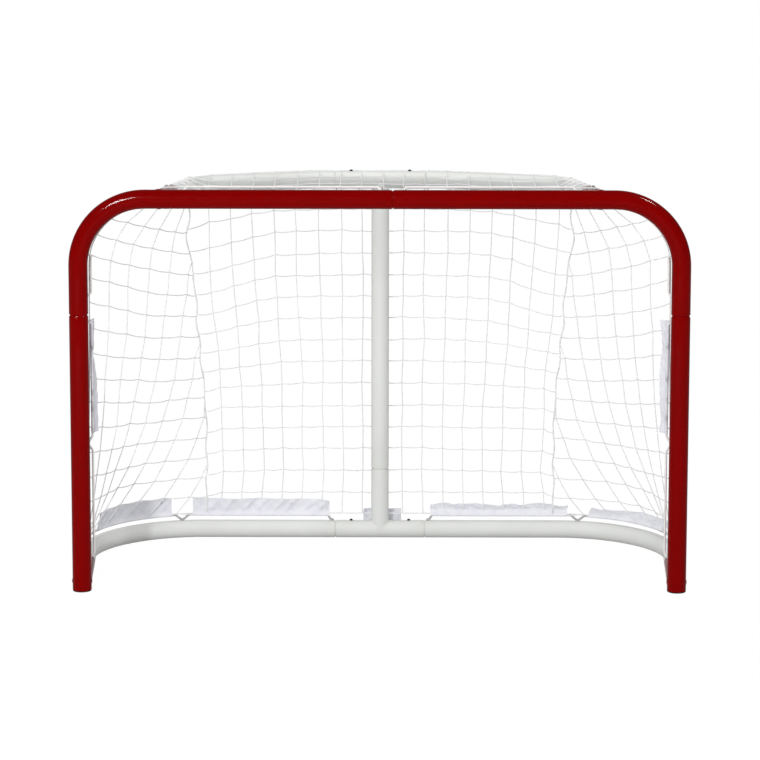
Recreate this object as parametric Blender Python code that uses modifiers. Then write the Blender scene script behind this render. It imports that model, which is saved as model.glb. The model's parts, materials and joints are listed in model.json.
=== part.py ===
"""A full-size hockey goal that knocks down for storage.

A red front frame of two corner tubes and two posts carries a white base and a white top shelf.
The tubes are swaged at one end, slide into each other and are held by screws. Lacing rods are
welded along them, and canvas flaps folded round the rods hold the knotted net.
The mouth faces -Y, the goal stands on Z = 0, and X is its width.
"""

import math

import bmesh
import bpy
from mathutils import Matrix, Vector

# Driving dimensions, in metres
OPENING_WIDTH = 1.8288
OPENING_HEIGHT = 1.2192
FRAME_DEPTH = 0.745
TUBE_DIAMETER = 0.0603
TUBE_WALL = 0.0021
CORNER_RADIUS = 0.21
POST_SEAM_HEIGHT = 0.887
CROSSBAR_SEAM_X = 0.038

# Slip joints: one tube end is swaged down and slides into the plain end of the next
SPIGOT_LENGTH = 0.075
SPIGOT_SHOULDER = 0.006
SEAM_GAP = 0.0008
FIT = 0.0003
SCREW_INSET = 0.053
SCREW_HEAD_RADIUS = 0.0058
SCREW_HEAD_HEIGHT = 0.0042
SCREW_SHANK_RADIUS = 0.0026
SCREW_SHANK_LENGTH = 0.012

# Base: flares out from the posts, turns two corners and meets in a tee under the centre post
BASE_STUB_LENGTH = 0.257
BASE_FLARE = math.radians(4.5)
BASE_CORNER_RADIUS = 0.36
TEE_ARM = 0.153
TEE_RISER_HEIGHT = 0.243

# Top shelf: narrows towards the back and meets in a tee on the centre post
SHELF_INSET = 0.2546
SHELF_CORNER_INSET = 0.3176
SHELF_SWEEP = 0.225
SHELF_STUB_DEPTH = 0.170
SHELF_CORNER_RADIUS = 0.15
SHELF_TEE_STRAIGHT = 0.020
SHELF_BEND_RADIUS = 0.15

# Plastic plugs in the open lower ends of the posts
PLUG_LIP = 0.003
PLUG_HEIGHT = 0.024
PLUG_WALL = 0.0022

# Lacing rods: stand off their tube, and come down to it at both ends and at each weld between
ROD_DIAMETER = 0.0076
ROD_STANDOFF = 0.016
ROD_FOOT = 0.007
ROD_RAMP = 0.014
ROD_WELD_SPREAD = 0.028
ROD_END_MARGIN = 0.010
POST_ROD_FOOT = 0.095
POST_ROD_WELD = 0.470
CORNER_ROD_START = 0.045
CORNER_ROD_LENGTH = 0.158
CROSSBAR_ROD_MARGIN = 0.066
CROSSBAR_ROD_SEAM_MARGIN = 0.020
TEE_ROD_HALF = 0.112

# Canvas flaps, folded round a rod with both leaves standing up from it
CANVAS = 0.0016
LEAF_GAP = 0.0008
HEM_NECK = 0.0125
HEM_WRAP = math.radians(125)
FLAP_REACH = 0.061
POST_FLAP_REACH = 0.035
REAR_FLAP_LENGTH = 0.475
CURVE_FLAP_LENGTH = 0.334
FLAP_SPACING = 0.074
FLAP_MARGIN = 0.002
POST_FLAP_LENGTH = 0.345
TEE_FLAP_HALF = 0.070

# Net: drawn with twice the real mesh, in panels that are nearly flat
STRAND = 0.005
NET_FIT = 0.0007
NET_ROWS = 8
TOP_NET_ROWS = 5
TOP_NET_COLUMNS = 8
BACK_NET_COLUMNS = (3, 2)
SIDE_NET_COLUMNS = (3, 2, 2)
NET_SEAM_INSET = 0.3406
BACK_PANEL_SPLIT = 0.192
NET_FRONT_DEPTH = 0.160

# Fineness of the faceted solids
TUBE_SIDES = 20
ROD_SIDES = 6
SCREW_SIDES = 6
HOLE_SIDES = 8
PLUG_SIDES = 20
HEM_STEPS = 5
BEND_STEP = math.radians(14)
SHARP_ANGLE = math.radians(35)

# Sizes worked out from the driving ones
TUBE_RADIUS = TUBE_DIAMETER / 2
BORE_RADIUS = TUBE_RADIUS - TUBE_WALL
FLAT_SHARE = math.cos(math.pi / TUBE_SIDES)
SPIGOT_RADIUS = BORE_RADIUS * FLAT_SHARE - FIT
HALF_FACET = math.pi / TUBE_SIDES
ROD_RADIUS = ROD_DIAMETER / 2
ROD_SEAT = TUBE_RADIUS * FLAT_SHARE + FIT + ROD_RADIUS
ROD_OFFSET = TUBE_RADIUS + ROD_STANDOFF + ROD_RADIUS
HEM_RADIUS = ROD_RADIUS + FIT + CANVAS / 2
HEM_STEP = 2 * HEM_WRAP / HEM_STEPS
HEM_CORNER_RADIUS = HEM_RADIUS / math.cos(HEM_STEP / 2)
LEAF_OFFSET = (CANVAS + LEAF_GAP) / 2
POST_X = (OPENING_WIDTH + TUBE_DIAMETER) / 2
REAR_REACH = ROD_OFFSET + HEM_CORNER_RADIUS + CANVAS / 2
FRONT_Y = TUBE_RADIUS - (FRAME_DEPTH + REAR_REACH + TUBE_RADIUS) / 2
REAR_Y = FRONT_Y + FRAME_DEPTH
BASE_Z = TUBE_RADIUS
CROSSBAR_Z = OPENING_HEIGHT + TUBE_RADIUS
NET_TOP_Z = CROSSBAR_Z + TUBE_RADIUS + NET_FIT + STRAND / 2
NET_EDGE_Z = NET_TOP_Z - STRAND - NET_FIT
NET_OUTSET = TUBE_RADIUS + NET_FIT + STRAND / 2
NET_BOTTOM_Z = BASE_Z + ROD_OFFSET + FLAP_REACH + NET_FIT + STRAND / 2

SIDES = (("left", -1), ("right", 1))
UP = Vector((0, 0, 1))
BACK = Vector((0, 1, 0))
ALONG = Vector((1, 0, 0))


# Materials
def paint(name, colour, roughness, metallic=0.0):
    """A Principled material of one colour."""
    material = bpy.data.materials.new(name)
    material.use_nodes = True
    shader = material.node_tree.nodes["Principled BSDF"]
    shader.inputs["Base Color"].default_value = (*colour, 1.0)
    shader.inputs["Roughness"].default_value = roughness
    shader.inputs["Metallic"].default_value = metallic
    return material


# Scene handling
def new_collection(name):
    collection = bpy.data.collections.new(name)
    bpy.context.scene.collection.children.link(collection)
    return collection


def add_part(name, data, material, location=(0, 0, 0)):
    """A piece of the goal, parented to the empty on the ground."""
    part = bpy.data.objects.new(name, data)
    part.location = location
    part.data.materials.append(material)
    goal.objects.link(part)
    part.parent = stand
    return part


def add_helper(name, data, location=(0, 0, 0)):
    """A cutter or a branch that is welded on: shown as wire, left out of the render."""
    helper = bpy.data.objects.new(name, data)
    helper.location = location
    helper.hide_render = True
    helper.display_type = "WIRE"
    helpers.objects.link(helper)
    return helper


def combine(target, other, operation):
    modifier = target.modifiers.new(f"{operation.title()} {other.name}", "BOOLEAN")
    modifier.operation = operation
    modifier.object = other
    modifier.solver = "EXACT"


def smooth(mesh):
    mesh.shade_smooth()
    mesh.set_sharp_from_angle(angle=SHARP_ANGLE)


# Paths
def mirrored(points, side):
    """The right-hand points, moved to the side asked for."""
    return [Vector((side * point.x, point.y, point.z)) for point in points]


def rounded(corners, radii):
    """A polyline through the corners, each inner corner turned into an arc."""
    path = [corners[0]]
    for before, corner, after, radius in zip(corners, corners[1:], corners[2:], radii):
        back = (before - corner).normalized()
        ahead = (after - corner).normalized()
        turn = math.pi - back.angle(ahead)
        start = corner + back * radius * math.tan(turn / 2)
        centre = corner + (back + ahead).normalized() * radius / math.cos(turn / 2)
        spoke = start - centre
        axis = spoke.cross(-back)
        count = max(2, math.ceil(turn / BEND_STEP))
        for index in range(count + 1):
            path.append(centre + Matrix.Rotation(turn * index / count, 3, axis) @ spoke)
    path.append(corners[-1])
    return path


def length_of(path):
    return sum((end - start).length for start, end in zip(path, path[1:]))


def walk(path, distance):
    """The point and the heading at a distance along a path."""
    for start, end in zip(path, path[1:]):
        span = (end - start).length
        if distance <= span or end is path[-1]:
            heading = (end - start).normalized()
            return start + heading * distance, heading
        distance -= span


def stations(path, start, end):
    """Distances from start to end, with one at each vertex of the path between them."""
    marks = [start]
    distance = 0.0
    for first, second in zip(path, path[1:]):
        distance += (second - first).length
        if marks[-1] + FIT < distance < end - FIT:
            marks.append(distance)
    marks.append(end)
    return marks


def stretch(path, start, end):
    """The part of a path between two distances."""
    return [walk(path, mark)[0] for mark in stations(path, start, end)]


def outset(path, distance):
    """A plan path moved to its outer side, with its vertices kept."""
    headings = [(end - start).normalized() for start, end in zip(path, path[1:])]
    headings = [headings[0]] + headings + [headings[-1]]
    moved = []
    for point, before, after in zip(path, headings, headings[1:]):
        heading = (before + after).normalized()
        moved.append(point + heading.cross(UP) * distance)
    return moved


def lifted(path, height):
    return [Vector((point.x, point.y, height)) for point in path]


# Tubes, joints and screws
def swept(name, points, radii, sides, tilt=0.0, caps=False):
    """A round bar along a path, as a curve whose first point is its origin."""
    curve = bpy.data.curves.new(name, "CURVE")
    curve.dimensions = "3D"
    curve.twist_mode = "MINIMUM"
    curve.bevel_depth = radii[0]
    curve.bevel_resolution = sides // 2 - 2
    curve.use_fill_caps = caps
    spline = curve.splines.new("POLY")
    spline.points.add(len(points) - 1)
    for knot, point, radius in zip(spline.points, points, radii):
        knot.co = (*(point - points[0]), 1.0)
        knot.radius = radius / radii[0]
        knot.tilt = tilt
    return curve


def curve_mesh(curve):
    """The mesh of a curve, with the curve removed."""
    holder = add_helper(curve.name, curve)
    bpy.context.view_layer.update()
    evaluated = holder.evaluated_get(bpy.context.evaluated_depsgraph_get())
    mesh = bpy.data.meshes.new_from_object(evaluated)
    bpy.data.objects.remove(holder)
    bpy.data.curves.remove(curve)
    shape = bmesh.new()
    shape.from_mesh(mesh)
    bmesh.ops.remove_doubles(shape, verts=shape.verts, dist=0.00001)
    shape.to_mesh(mesh)
    shape.free()
    smooth(mesh)
    return mesh


def with_spigot(path, radii):
    """The path and its radii with the last end swaged down and carried on past the seam."""
    seam = path[-1]
    into = (path[-1] - path[-2]).normalized()
    shoulder = seam - into * (SPIGOT_SHOULDER + SEAM_GAP)
    swaged = [seam - into * SEAM_GAP, seam + into * SPIGOT_LENGTH]
    return path[:-1] + [shoulder] + swaged, radii + [SPIGOT_RADIUS] * len(swaged)


def hollow(part):
    """Gives an open tube its wall, inwards from the outer surface."""
    wall = part.modifiers.new("Tube wall", "SOLIDIFY")
    wall.thickness = TUBE_WALL
    wall.offset = -1.0
    wall.use_even_offset = True


def tube(name, path, material, start_spigot=False, end_spigot=False, tilt=0.0):
    """A hollow tube along a path, swaged where a spigot is asked for."""
    radii = [TUBE_RADIUS] * len(path)
    if end_spigot:
        path, radii = with_spigot(path, radii)
    if start_spigot:
        path, radii = with_spigot(path[::-1], radii[::-1])
        path, radii = path[::-1], radii[::-1]
    mesh = curve_mesh(swept(name, path, radii, TUBE_SIDES, tilt))
    if material is None:
        part = add_helper(name, mesh, path[0])
    else:
        part = add_part(name, mesh, material, path[0])
    hollow(part)
    return part


def cylinder(name, radius, bottom, top, sides, place):
    """A cutter along its own Z, set down by a matrix."""
    shape = bmesh.new()
    move = Matrix.Translation((0, 0, (bottom + top) / 2))
    bmesh.ops.create_cone(shape, cap_ends=True, segments=sides, radius1=radius, radius2=radius,
                          depth=top - bottom, matrix=move)
    mesh = bpy.data.meshes.new(name)
    shape.to_mesh(mesh)
    shape.free()
    cutter = add_helper(name, mesh)
    cutter.matrix_world = place
    return cutter


def frame_at(point, direction):
    """A matrix at a point whose Z looks along a direction."""
    return Matrix.Translation(point) @ direction.to_track_quat("Z", "Y").to_matrix().to_4x4()


def weld_branch(part, name, path, main_axis, end_spigot=False, tilt=HALF_FACET):
    """Welds a tube to a main tube: its end is coped to the main wall, whose axis it starts on."""
    branch = tube(name, path, None, end_spigot=end_spigot, tilt=tilt)
    cope = cylinder(f"{name}_cope", TUBE_RADIUS - TUBE_WALL / 2, -TUBE_DIAMETER,
                    TUBE_DIAMETER, TUBE_SIDES, frame_at(path[0], main_axis))
    combine(branch, cope, "DIFFERENCE")
    combine(part, branch, "UNION")


def screw_mesh():
    """A hex-head screw as a turned profile; Z = 0 is the axis of the tube that it holds."""
    seat = TUBE_RADIUS + FIT
    profile = [
        (0, seat + SCREW_HEAD_HEIGHT),
        (SCREW_HEAD_RADIUS, seat + SCREW_HEAD_HEIGHT),
        (SCREW_HEAD_RADIUS, seat),
        (SCREW_SHANK_RADIUS, seat),
        (SCREW_SHANK_RADIUS, seat - SCREW_SHANK_LENGTH),
        (0, seat - SCREW_SHANK_LENGTH),
    ]
    return profile_mesh("screw", profile)


def profile_mesh(name, profile):
    """An open chain of edges at +X, for a Screw modifier to turn about Z."""
    shape = bmesh.new()
    knots = [shape.verts.new((radius, 0, height)) for radius, height in profile]
    for first, second in zip(knots, knots[1:]):
        shape.edges.new((first, second))
    mesh = bpy.data.meshes.new(name)
    shape.to_mesh(mesh)
    shape.free()
    return mesh


def turn_about_z(part, steps):
    lathe = part.modifiers.new("Turned", "SCREW")
    lathe.steps = steps
    lathe.render_steps = steps
    lathe.use_merge_vertices = True
    lathe.merge_threshold = 0.00001


def fasten(name, socket, spigot, seam, into, side_out):
    """Drills a socket and the spigot inside it, and puts a screw through both."""
    place = frame_at(seam + into * SCREW_INSET, side_out)
    hole_radius = (SCREW_SHANK_RADIUS + FIT) / math.cos(math.pi / HOLE_SIDES)
    drill = cylinder(f"{name}_drill", hole_radius, SPIGOT_RADIUS / 2, TUBE_DIAMETER,
                     HOLE_SIDES, place)
    combine(socket, drill, "DIFFERENCE")
    combine(spigot, drill, "DIFFERENCE")
    screw = add_part(name, screw_mesh(), dark_zinc)
    screw.matrix_world = place
    turn_about_z(screw, SCREW_SIDES)


# Lacing rods
def lacing_rod(name, path, start, end, welds, outward):
    """A rod beside a tube: down on it at both ends and at the welds, standing off between."""
    raised = start + ROD_FOOT + ROD_RAMP
    heights = [(start, ROD_SEAT), (start + ROD_FOOT, ROD_SEAT), (raised, ROD_OFFSET)]
    for weld in welds:
        heights.append((weld - ROD_WELD_SPREAD, ROD_OFFSET))
        heights.append((weld, ROD_SEAT))
        heights.append((weld + ROD_WELD_SPREAD, ROD_OFFSET))
    lowered = end - ROD_FOOT
    heights += [(lowered - ROD_RAMP, ROD_OFFSET), (lowered, ROD_SEAT), (end, ROD_SEAT)]
    points = []
    for (near, low), (far, high) in zip(heights, heights[1:]):
        marks = stations(path, near, far)
        for mark in marks[:-1]:
            height = low + (high - low) * (mark - near) / (far - near)
            point, heading = walk(path, mark)
            points.append(point + outward(heading) * height)
    point, heading = walk(path, end)
    points.append(point + outward(heading) * ROD_SEAT)
    curve = swept(name, points, [ROD_RADIUS] * len(points), ROD_SIDES, caps=True)
    return add_part(name, curve, zinc, points[0])


# Sheets: canvas flaps and net panels
def sheet(name, columns, rows, place, material):
    """A grid of quads whose corners are put where place(u, v) says."""
    shape = bmesh.new()
    bmesh.ops.create_grid(shape, x_segments=columns, y_segments=rows, size=0.5)
    for knot in shape.verts:
        knot.co = place(knot.co.x + 0.5, knot.co.y + 0.5)
    mesh = bpy.data.meshes.new(name)
    shape.to_mesh(mesh)
    shape.free()
    return add_part(name, mesh, material)


def flap_profile(reach):
    """The fold of a flap round its rod, from leaf tip to leaf tip: (across, along the leaves)."""
    profile = [(-LEAF_OFFSET, reach), (-LEAF_OFFSET, HEM_NECK)]
    for index in range(HEM_STEPS + 1):
        angle = index * HEM_STEP - HEM_WRAP
        across = HEM_CORNER_RADIUS * math.sin(angle)
        profile.append((across, -HEM_CORNER_RADIUS * math.cos(angle)))
    return profile + [(LEAF_OFFSET, HEM_NECK), (LEAF_OFFSET, reach)]


def canvas_flap(name, path, start, end, outward, leaves, reach):
    """Canvas folded round a rod that follows a path, with its leaves in one direction."""
    profile = flap_profile(reach)
    marks = stations(path, start, end)

    def place(u, v):
        across, along = profile[round(u * (len(profile) - 1))]
        point, heading = walk(path, marks[round(v * (len(marks) - 1))])
        side = heading.cross(leaves).normalized()
        return point + outward * ROD_OFFSET + side * across + leaves * along

    flap = sheet(name, len(profile) - 1, len(marks) - 1, place, canvas)
    cloth = flap.modifiers.new("Canvas", "SOLIDIFY")
    cloth.thickness = CANVAS
    cloth.offset = 0.0
    cloth.use_even_offset = True
    return flap


def end_gap(heading, strand):
    """How far along an edge a panel stops short, so that its end strand clears the next."""
    return (STRAND + NET_FIT) / 2 / heading.cross(strand).length


def net_panel(name, bottom, top, columns, rows):
    """A panel of net between two edges; its corners keep clear of the panels beside it."""
    first = (top[0] - bottom[0]).normalized()
    last = (top[-1] - bottom[-1]).normalized()
    inner = []
    for edge in (bottom, top):
        span = length_of(edge)
        near = end_gap(walk(edge, 0)[1], first)
        far = span - end_gap(walk(edge, span)[1], last)
        inner.append(stretch(edge, near, far))
    spans = [length_of(edge) for edge in inner]

    def place(u, v):
        low, high = (walk(edge, u * span)[0] for edge, span in zip(inner, spans))
        return low.lerp(high, v)

    panel = sheet(name, columns, rows, place, cord)
    strands = panel.modifiers.new("Strands", "WIREFRAME")
    strands.thickness = STRAND
    strands.use_boundary = True
    strands.use_even_offset = True
    strands.use_replace = True
    return panel


def net_strip(name, bottom, top, first, last, total, rows):
    """The columns from first to last of a wider panel."""
    spans = length_of(bottom), length_of(top)
    low = stretch(bottom, spans[0] * first / total, spans[0] * last / total)
    high = stretch(top, spans[1] * first / total, spans[1] * last / total)
    return net_panel(name, low, high, last - first, rows)


# A clean scene, two collections and the empty that carries the goal
for old in list(bpy.data.objects):
    bpy.data.objects.remove(old)
goal = new_collection("Hockey goal")
helpers = new_collection("Cutters and branches")
stand = bpy.data.objects.new("ground_centre", None)
goal.objects.link(stand)

red_paint = paint("Red paint", (0.242, 0.002, 0.002), 0.32)
white_paint = paint("White paint", (0.72, 0.73, 0.70), 0.35)
zinc = paint("Zinc rod", (0.50, 0.51, 0.50), 0.45, 0.6)
dark_zinc = paint("Dark screw", (0.09, 0.085, 0.08), 0.45, 0.8)
black_plastic = paint("Black plastic", (0.015, 0.015, 0.015), 0.6)
canvas = paint("Canvas", (0.58, 0.59, 0.63), 0.9)
cord = paint("Net cord", (0.78, 0.79, 0.79), 0.8)

# Paths of the tubes' centrelines, for the right-hand side
post_foot = Vector((POST_X, FRONT_Y, 0))
post_seam = Vector((POST_X, FRONT_Y, POST_SEAM_HEIGHT))
frame_corner = Vector((POST_X, FRONT_Y, CROSSBAR_Z))
crossbar_centre = Vector((0, FRONT_Y, CROSSBAR_Z))
base_start = Vector((POST_X, FRONT_Y, BASE_Z))
base_corner = Vector((POST_X + FRAME_DEPTH * math.tan(BASE_FLARE), REAR_Y, BASE_Z))
base_centre = Vector((0, REAR_Y, BASE_Z))
base_heading = (base_corner - base_start).normalized()
base_seam = base_start + base_heading * BASE_STUB_LENGTH
shelf_start = Vector((POST_X - SHELF_INSET, FRONT_Y, CROSSBAR_Z))
shelf_corner = Vector((POST_X - SHELF_CORNER_INSET, REAR_Y - SHELF_SWEEP, CROSSBAR_Z))
bend_start_x = TEE_ARM + SHELF_TEE_STRAIGHT
bend_span = shelf_corner.x - bend_start_x
bend_excess = SHELF_SWEEP * (SHELF_SWEEP - 2 * SHELF_BEND_RADIUS)
half_turn_slope = SHELF_SWEEP / (bend_span + math.sqrt(bend_span ** 2 + bend_excess))
bend_x = bend_start_x + SHELF_BEND_RADIUS * half_turn_slope
shelf_bend = Vector((bend_x, REAR_Y, CROSSBAR_Z))
shelf_centre = Vector((0, REAR_Y, CROSSBAR_Z))
shelf_heading = (shelf_corner - shelf_start).normalized()
shelf_seam = shelf_start + shelf_heading * SHELF_STUB_DEPTH / shelf_heading.y
tee_seam_low = Vector((TEE_ARM, REAR_Y, BASE_Z))
tee_seam_high = Vector((TEE_ARM, REAR_Y, CROSSBAR_Z))
shelf_radii = (SHELF_CORNER_RADIUS, SHELF_BEND_RADIUS)

front_path = rounded([post_seam, frame_corner, crossbar_centre], (CORNER_RADIUS,))
base_path = rounded([base_start, base_corner, base_centre], (BASE_CORNER_RADIUS,))
shelf_path = rounded([shelf_start, shelf_corner, shelf_bend, shelf_centre], shelf_radii)
base_length = length_of(base_path)

# Front frame: the left corner tube is the socket of the crossbar joint, the right its spigot
corners = {}
posts = {}
for side_name, side in SIDES:
    seam_x = Vector((side * CROSSBAR_SEAM_X, FRONT_Y, CROSSBAR_Z))
    corner_points = mirrored(rounded([post_seam, frame_corner, seam_x], (CORNER_RADIUS,)), side)
    corner = tube(f"{side_name}_crossbar_corner", corner_points, red_paint,
                  end_spigot=side > 0)
    corners[side_name] = corner
    stub = mirrored([shelf_start, shelf_seam], side)
    weld_branch(corner, f"{side_name}_shelf_stub", stub, ALONG)

    post = tube(f"{side_name}_post", mirrored([post_foot, post_seam], side), red_paint,
                end_spigot=True)
    posts[side_name] = post
    stub = mirrored([base_start, base_seam], side)
    weld_branch(post, f"{side_name}_base_stub", stub, UP)
    foot = frame_at(stub[0] - UP * BASE_Z, UP)
    trim = cylinder(f"{side_name}_foot_trim", TUBE_RADIUS + FIT, -TUBE_RADIUS, PLUG_LIP + FIT,
                    TUBE_SIDES, foot)
    combine(post, trim, "DIFFERENCE")

    plug_radius = BORE_RADIUS * FLAT_SHARE - FIT
    plug_profile = [
        (0, PLUG_WALL),
        (plug_radius - PLUG_WALL, PLUG_WALL),
        (plug_radius - PLUG_WALL, PLUG_HEIGHT),
        (plug_radius, PLUG_HEIGHT),
        (plug_radius, PLUG_LIP),
        (TUBE_RADIUS - FIT, PLUG_LIP),
        (TUBE_RADIUS - FIT, 0),
        (0, 0),
    ]
    plug = add_part(f"{side_name}_foot_plug", profile_mesh("plug", plug_profile),
                    black_plastic, stub[0] - UP * BASE_Z)
    turn_about_z(plug, PLUG_SIDES)

# Base and shelf tubes, swaged at both ends
base_tubes = {}
shelf_tubes = {}
for side_name, side in SIDES:
    points = mirrored(rounded([base_seam, base_corner, tee_seam_low],
                              (BASE_CORNER_RADIUS,)), side)
    base_tubes[side_name] = tube(f"{side_name}_base_tube", points, white_paint,
                                 start_spigot=True, end_spigot=True, tilt=HALF_FACET)
    points = mirrored(rounded([shelf_seam, shelf_corner, shelf_bend, tee_seam_high],
                              shelf_radii), side)
    shelf_tubes[side_name] = tube(f"{side_name}_shelf_tube", points, white_paint,
                                  start_spigot=True, end_spigot=True, tilt=HALF_FACET)

# Tees: the base tee has a short riser, and the centre post carries the tee of the shelf
base_tee = tube("base_tee", [Vector((-TEE_ARM, REAR_Y, BASE_Z)), tee_seam_low], white_paint,
                tilt=HALF_FACET)
riser_top = Vector((0, REAR_Y, TEE_RISER_HEIGHT))
weld_branch(base_tee, "tee_riser", [base_centre, riser_top], ALONG, tilt=0.0)
centre_post = tube("centre_post", [Vector((-TEE_ARM, REAR_Y, CROSSBAR_Z)), tee_seam_high],
                   white_paint, tilt=HALF_FACET)
weld_branch(centre_post, "centre_upright", [shelf_centre, riser_top], ALONG,
            end_spigot=True, tilt=0.0)

# Screws through every slip joint
for side_name, side in SIDES:
    sideways = Vector((-side, 0, 0))
    low, high = mirrored([tee_seam_low, tee_seam_high], side)
    fasten(f"base_tee_{side_name}_screw", base_tee, base_tubes[side_name], low, sideways, UP)
    fasten(f"shelf_tee_{side_name}_screw", centre_post, shelf_tubes[side_name], high,
           sideways, UP)
    seam, heading = mirrored([base_seam, -base_heading], side)
    fasten(f"{side_name}_base_screw", posts[side_name], base_tubes[side_name], seam,
           heading, UP)
    seam, heading = mirrored([shelf_seam, -shelf_heading], side)
    fasten(f"{side_name}_shelf_screw", corners[side_name], shelf_tubes[side_name], seam,
           heading, UP)
    seam = mirrored([post_seam], side)[0]
    fasten(f"{side_name}_post_screw", corners[side_name], posts[side_name], seam, UP, BACK)
crossbar_seam = Vector((CROSSBAR_SEAM_X, FRONT_Y, CROSSBAR_Z))
fasten("crossbar_screw", corners["left"], corners["right"], crossbar_seam,
       Vector((-1, 0, 0)), BACK)
fasten("centre_post_screw", base_tee, centre_post, riser_top, -UP, BACK)

# Lacing rods and the flaps on them
rod_end = base_length - TEE_ARM - ROD_END_MARGIN
rod_clear = ROD_FOOT + ROD_RAMP + FLAP_MARGIN
rear_flap_end = rod_end - rod_clear
rear_flap_start = rear_flap_end - REAR_FLAP_LENGTH
curve_flap_end = rear_flap_start - FLAP_SPACING
curve_flap_start = curve_flap_end - CURVE_FLAP_LENGTH
post_rod_end = POST_SEAM_HEIGHT - ROD_END_MARGIN - SPIGOT_SHOULDER
post_flap_end = post_rod_end - rod_clear
crossbar_back = (UP + BACK).normalized()
for side_name, side in SIDES:
    base_side = mirrored(base_path, side)
    lacing_rod(f"{side_name}_base_rod", base_side,
               BASE_STUB_LENGTH + SPIGOT_SHOULDER + ROD_END_MARGIN, rod_end,
               (rear_flap_start - FLAP_SPACING / 2,), lambda heading: UP)
    canvas_flap(f"{side_name}_rear_flap", base_side, rear_flap_start, rear_flap_end,
                UP, UP, FLAP_REACH)
    canvas_flap(f"{side_name}_curve_flap", base_side, curve_flap_start, curve_flap_end,
                UP, UP, FLAP_REACH)

    post_side = mirrored([post_foot, post_seam], side)
    post_inner = (Vector((-side, 0, 0)) + BACK).normalized()
    lacing_rod(f"{side_name}_post_rod", post_side, POST_ROD_FOOT, post_rod_end,
               (POST_ROD_WELD,), lambda heading, inner=post_inner: inner)
    canvas_flap(f"{side_name}_post_flap", post_side, post_flap_end - POST_FLAP_LENGTH,
                post_flap_end, post_inner, BACK, POST_FLAP_REACH)

    lacing_rod(f"{side_name}_corner_rod", mirrored(front_path, side), CORNER_ROD_START,
               CORNER_ROD_START + CORNER_ROD_LENGTH, (),
               lambda heading, side=side: (heading.cross(BACK) * side + BACK).normalized())
    rod_far = POST_X - SHELF_INSET - CROSSBAR_ROD_MARGIN
    rod_near = side * CROSSBAR_SEAM_X + CROSSBAR_ROD_SEAM_MARGIN + SPIGOT_SHOULDER
    crossbar_line = mirrored([crossbar_centre, frame_corner], side)
    lacing_rod(f"{side_name}_crossbar_rod", crossbar_line, rod_near, rod_far, (),
               lambda heading: crossbar_back)
tee_line = [Vector((-TEE_ARM, REAR_Y, BASE_Z)), tee_seam_low]
lacing_rod("tee_rod", tee_line, TEE_ARM - TEE_ROD_HALF, TEE_ARM + TEE_ROD_HALF, (),
           lambda heading: BACK)
canvas_flap("tee_flap", tee_line, TEE_ARM - TEE_FLAP_HALF, TEE_ARM + TEE_FLAP_HALF,
            BACK, UP, FLAP_REACH)

# Net: a flat top, a back in three panels and each side in three
shelf_edge = lifted(outset(shelf_path, NET_OUTSET), NET_EDGE_Z)
split_index = min(range(len(shelf_edge)),
                  key=lambda index: (shelf_edge[index] - shelf_corner).length)
shelf_edge_start = stretch(shelf_edge, NET_OUTSET + STRAND, length_of(shelf_edge))
side_edge = [knot for knot in shelf_edge_start if knot.y < shelf_edge[split_index].y]
side_edge.append(shelf_edge[split_index])
rear_edge = shelf_edge[split_index:]
back_split = length_of(rear_edge) - BACK_PANEL_SPLIT
seam_mark = base_length - (POST_X - NET_SEAM_INSET)
base_edge = lifted(base_path, NET_BOTTOM_Z)
post_net_x = POST_X - ROD_OFFSET * math.sqrt(0.5)
post_net_y = FRONT_Y + ROD_OFFSET * math.sqrt(0.5) + POST_FLAP_REACH + NET_FIT + STRAND / 2
side_bottom = [Vector((post_net_x, post_net_y, NET_BOTTOM_Z))]
side_bottom += stretch(base_edge, NET_FRONT_DEPTH, seam_mark)
bend_top = CROSSBAR_Z - CORNER_RADIUS
side_top = [Vector((post_net_x, post_net_y, bend_top))]
for knot in front_path[2:-1]:
    side_top.append(knot + BACK * NET_OUTSET)
side_top += side_edge
back_bottom = stretch(base_edge, seam_mark, base_length - BACK_PANEL_SPLIT)
side_columns = sum(SIDE_NET_COLUMNS)
strip_names = ("front", "middle", "rear")
for side_name, side in SIDES:
    low = mirrored(side_bottom, side)
    high = mirrored(side_top, side)
    first = 0
    for strip_name, width in zip(strip_names, SIDE_NET_COLUMNS):
        net_strip(f"net_{side_name}_{strip_name}", low, high, first, first + width,
                  side_columns, NET_ROWS)
        first += width
    net_panel(f"net_back_{side_name}", mirrored(back_bottom, side),
              mirrored(stretch(rear_edge, 0, back_split), side), BACK_NET_COLUMNS[0], NET_ROWS)

centre_edge = stretch(rear_edge, back_split, length_of(rear_edge))
centre_top = mirrored(centre_edge, -1) + centre_edge[-2::-1]
tee_net_z = BASE_Z + FLAP_REACH + NET_FIT + STRAND / 2
centre_bottom = [Vector((side * BACK_PANEL_SPLIT, REAR_Y + ROD_OFFSET, tee_net_z))
                 for side in (-1, 1)]
net_panel("net_back_centre", centre_bottom, centre_top, BACK_NET_COLUMNS[1], NET_ROWS)

top_rear = lifted(mirrored(rear_edge, -1) + rear_edge[-2::-1], NET_TOP_Z)
rod_back = FRONT_Y + ROD_OFFSET * math.sqrt(0.5) + ROD_RADIUS + NET_FIT + STRAND / 2
top_front = [Vector((side * (POST_X - SHELF_INSET + NET_OUTSET), rod_back, NET_TOP_Z))
             for side in (-1, 1)]
net_panel("net_top", top_front, top_rear, TOP_NET_COLUMNS, TOP_NET_ROWS)

print("goal pieces:", len(goal.objects) - 1)
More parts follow.
